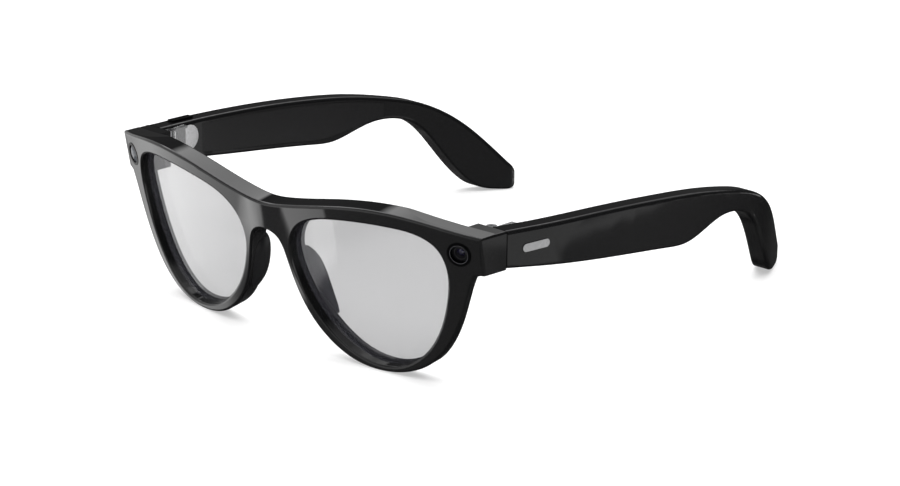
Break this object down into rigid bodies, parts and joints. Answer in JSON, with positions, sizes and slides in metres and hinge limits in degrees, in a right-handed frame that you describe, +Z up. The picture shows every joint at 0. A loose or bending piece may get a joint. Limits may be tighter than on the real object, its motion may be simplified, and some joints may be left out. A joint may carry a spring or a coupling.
{
  "type": "smart glasses",
  "caption": "Cat-eye smart glasses with clear lenses, a camera and a recording lamp in the front corners, silver barrel hinges and thick folding arms that hold the electronics.",
  "frame": {"origin": "middle of the bounding box in X and Y, at the level the rims and arm tips stand on", "axes": "+Z up, the lenses face -Y, the arms run to +Y, the wearer's left is +X"},
  "size_m": [0.146, 0.1568, 0.0479],
  "materials": {
    "frame_black": "polished moulding",
    "cover_black": "satin moulding",
    "lens_clear": "clear with a faint grey tint",
    "pad_black": "soft gloss",
    "trim_black": "polished",
    "camera_glass": "dark coated",
    "camera_black": "matt inner barrel",
    "lamp_guide": "smoky translucent",
    "lamp_white": "lamp package",
    "board_green": "solder mask",
    "flex_amber": "polyimide film",
    "hinge_silver": "satin plated",
    "screw_steel": "polished",
    "badge_silver": "polished",
    "contact_gold": "gold plated",
    "battery_foil": "foil pouch",
    "inner_black": "moulded",
    "grille_black": "black coated"
  },
  "bodies": {
    "front": {"front_frame": "frame_black", "brow_cover": "cover_black", "front_flex": "flex_amber", "camera_trim_ring": "trim_black", "camera_window": "camera_glass", "camera_barrel": "camera_black", "camera_lens": "camera_glass", "camera_board": "board_green", "lamp_trim_ring": "trim_black", "lamp_light_guide": "lamp_guide", "lamp": "lamp_white", "lamp_board": "board_green", "nose_microphone": "screw_steel", "charge_contacts": "contact_gold", "front_leaf_screws": "screw_steel", "lens_left": "lens_clear", "lens_right": "lens_clear", "nose_pad_left": "pad_black", "nose_pad_right": "pad_black", "front_hinge_leaf_left": "hinge_silver", "front_hinge_leaf_right": "hinge_silver", "hinge_pin_left": "screw_steel", "hinge_pin_right": "screw_steel"},
    "temple_left": {"temple_left_shell": "frame_black", "temple_left_cover": "cover_black", "temple_left_flex": "flex_amber", "temple_hinge_leaf_left": "hinge_silver", "temple_leaf_screws_left": "screw_steel", "temple_hinge_plate_left": "hinge_silver", "temple_badge_left": "badge_silver", "temple_speaker_left": "inner_black", "temple_speaker_grille_left": "grille_black", "temple_microphone_left": "screw_steel", "battery": "battery_foil", "power_board": "board_green", "power_switch_body": "inner_black"},
    "temple_right": {"temple_right_shell": "frame_black", "temple_right_cover": "cover_black", "temple_right_flex": "flex_amber", "temple_hinge_leaf_right": "hinge_silver", "temple_leaf_screws_right": "screw_steel", "temple_hinge_plate_right": "hinge_silver", "temple_badge_right": "badge_silver", "temple_speaker_right": "inner_black", "temple_speaker_grille_right": "grille_black", "temple_microphone_right": "screw_steel", "main_board": "board_green", "processor_shield": "screw_steel", "touch_sensor": "flex_amber", "antenna": "contact_gold", "button_switch": "inner_black"},
    "power_switch": {"power_switch": "trim_black"},
    "capture_button": {"capture_button": "trim_black"}
  },
  "joints": [
    {"name": "temple_left_fold", "type": "hinge", "parent": "front", "child": "temple_left", "pos_m": [0.0626, -0.05549, 0.0393], "axis": [0, 0, 1], "range_deg": [0, 86]},
    {"name": "temple_right_fold", "type": "hinge", "parent": "front", "child": "temple_right", "pos_m": [-0.0626, -0.05549, 0.0393], "axis": [0, 0, -1], "range_deg": [0, 66]},
    {"name": "power_switch_slide", "type": "slide", "parent": "temple_left", "child": "power_switch", "axis": [0, 1, 0], "range_m": [0, 0.002]},
    {"name": "capture_button_press", "type": "slide", "parent": "temple_right", "child": "capture_button", "axis": [0, 0, -1], "range_m": [0, 0.00035], "stiffness_N_per_m": 2500, "springref_m": -0.0002}
  ]
}
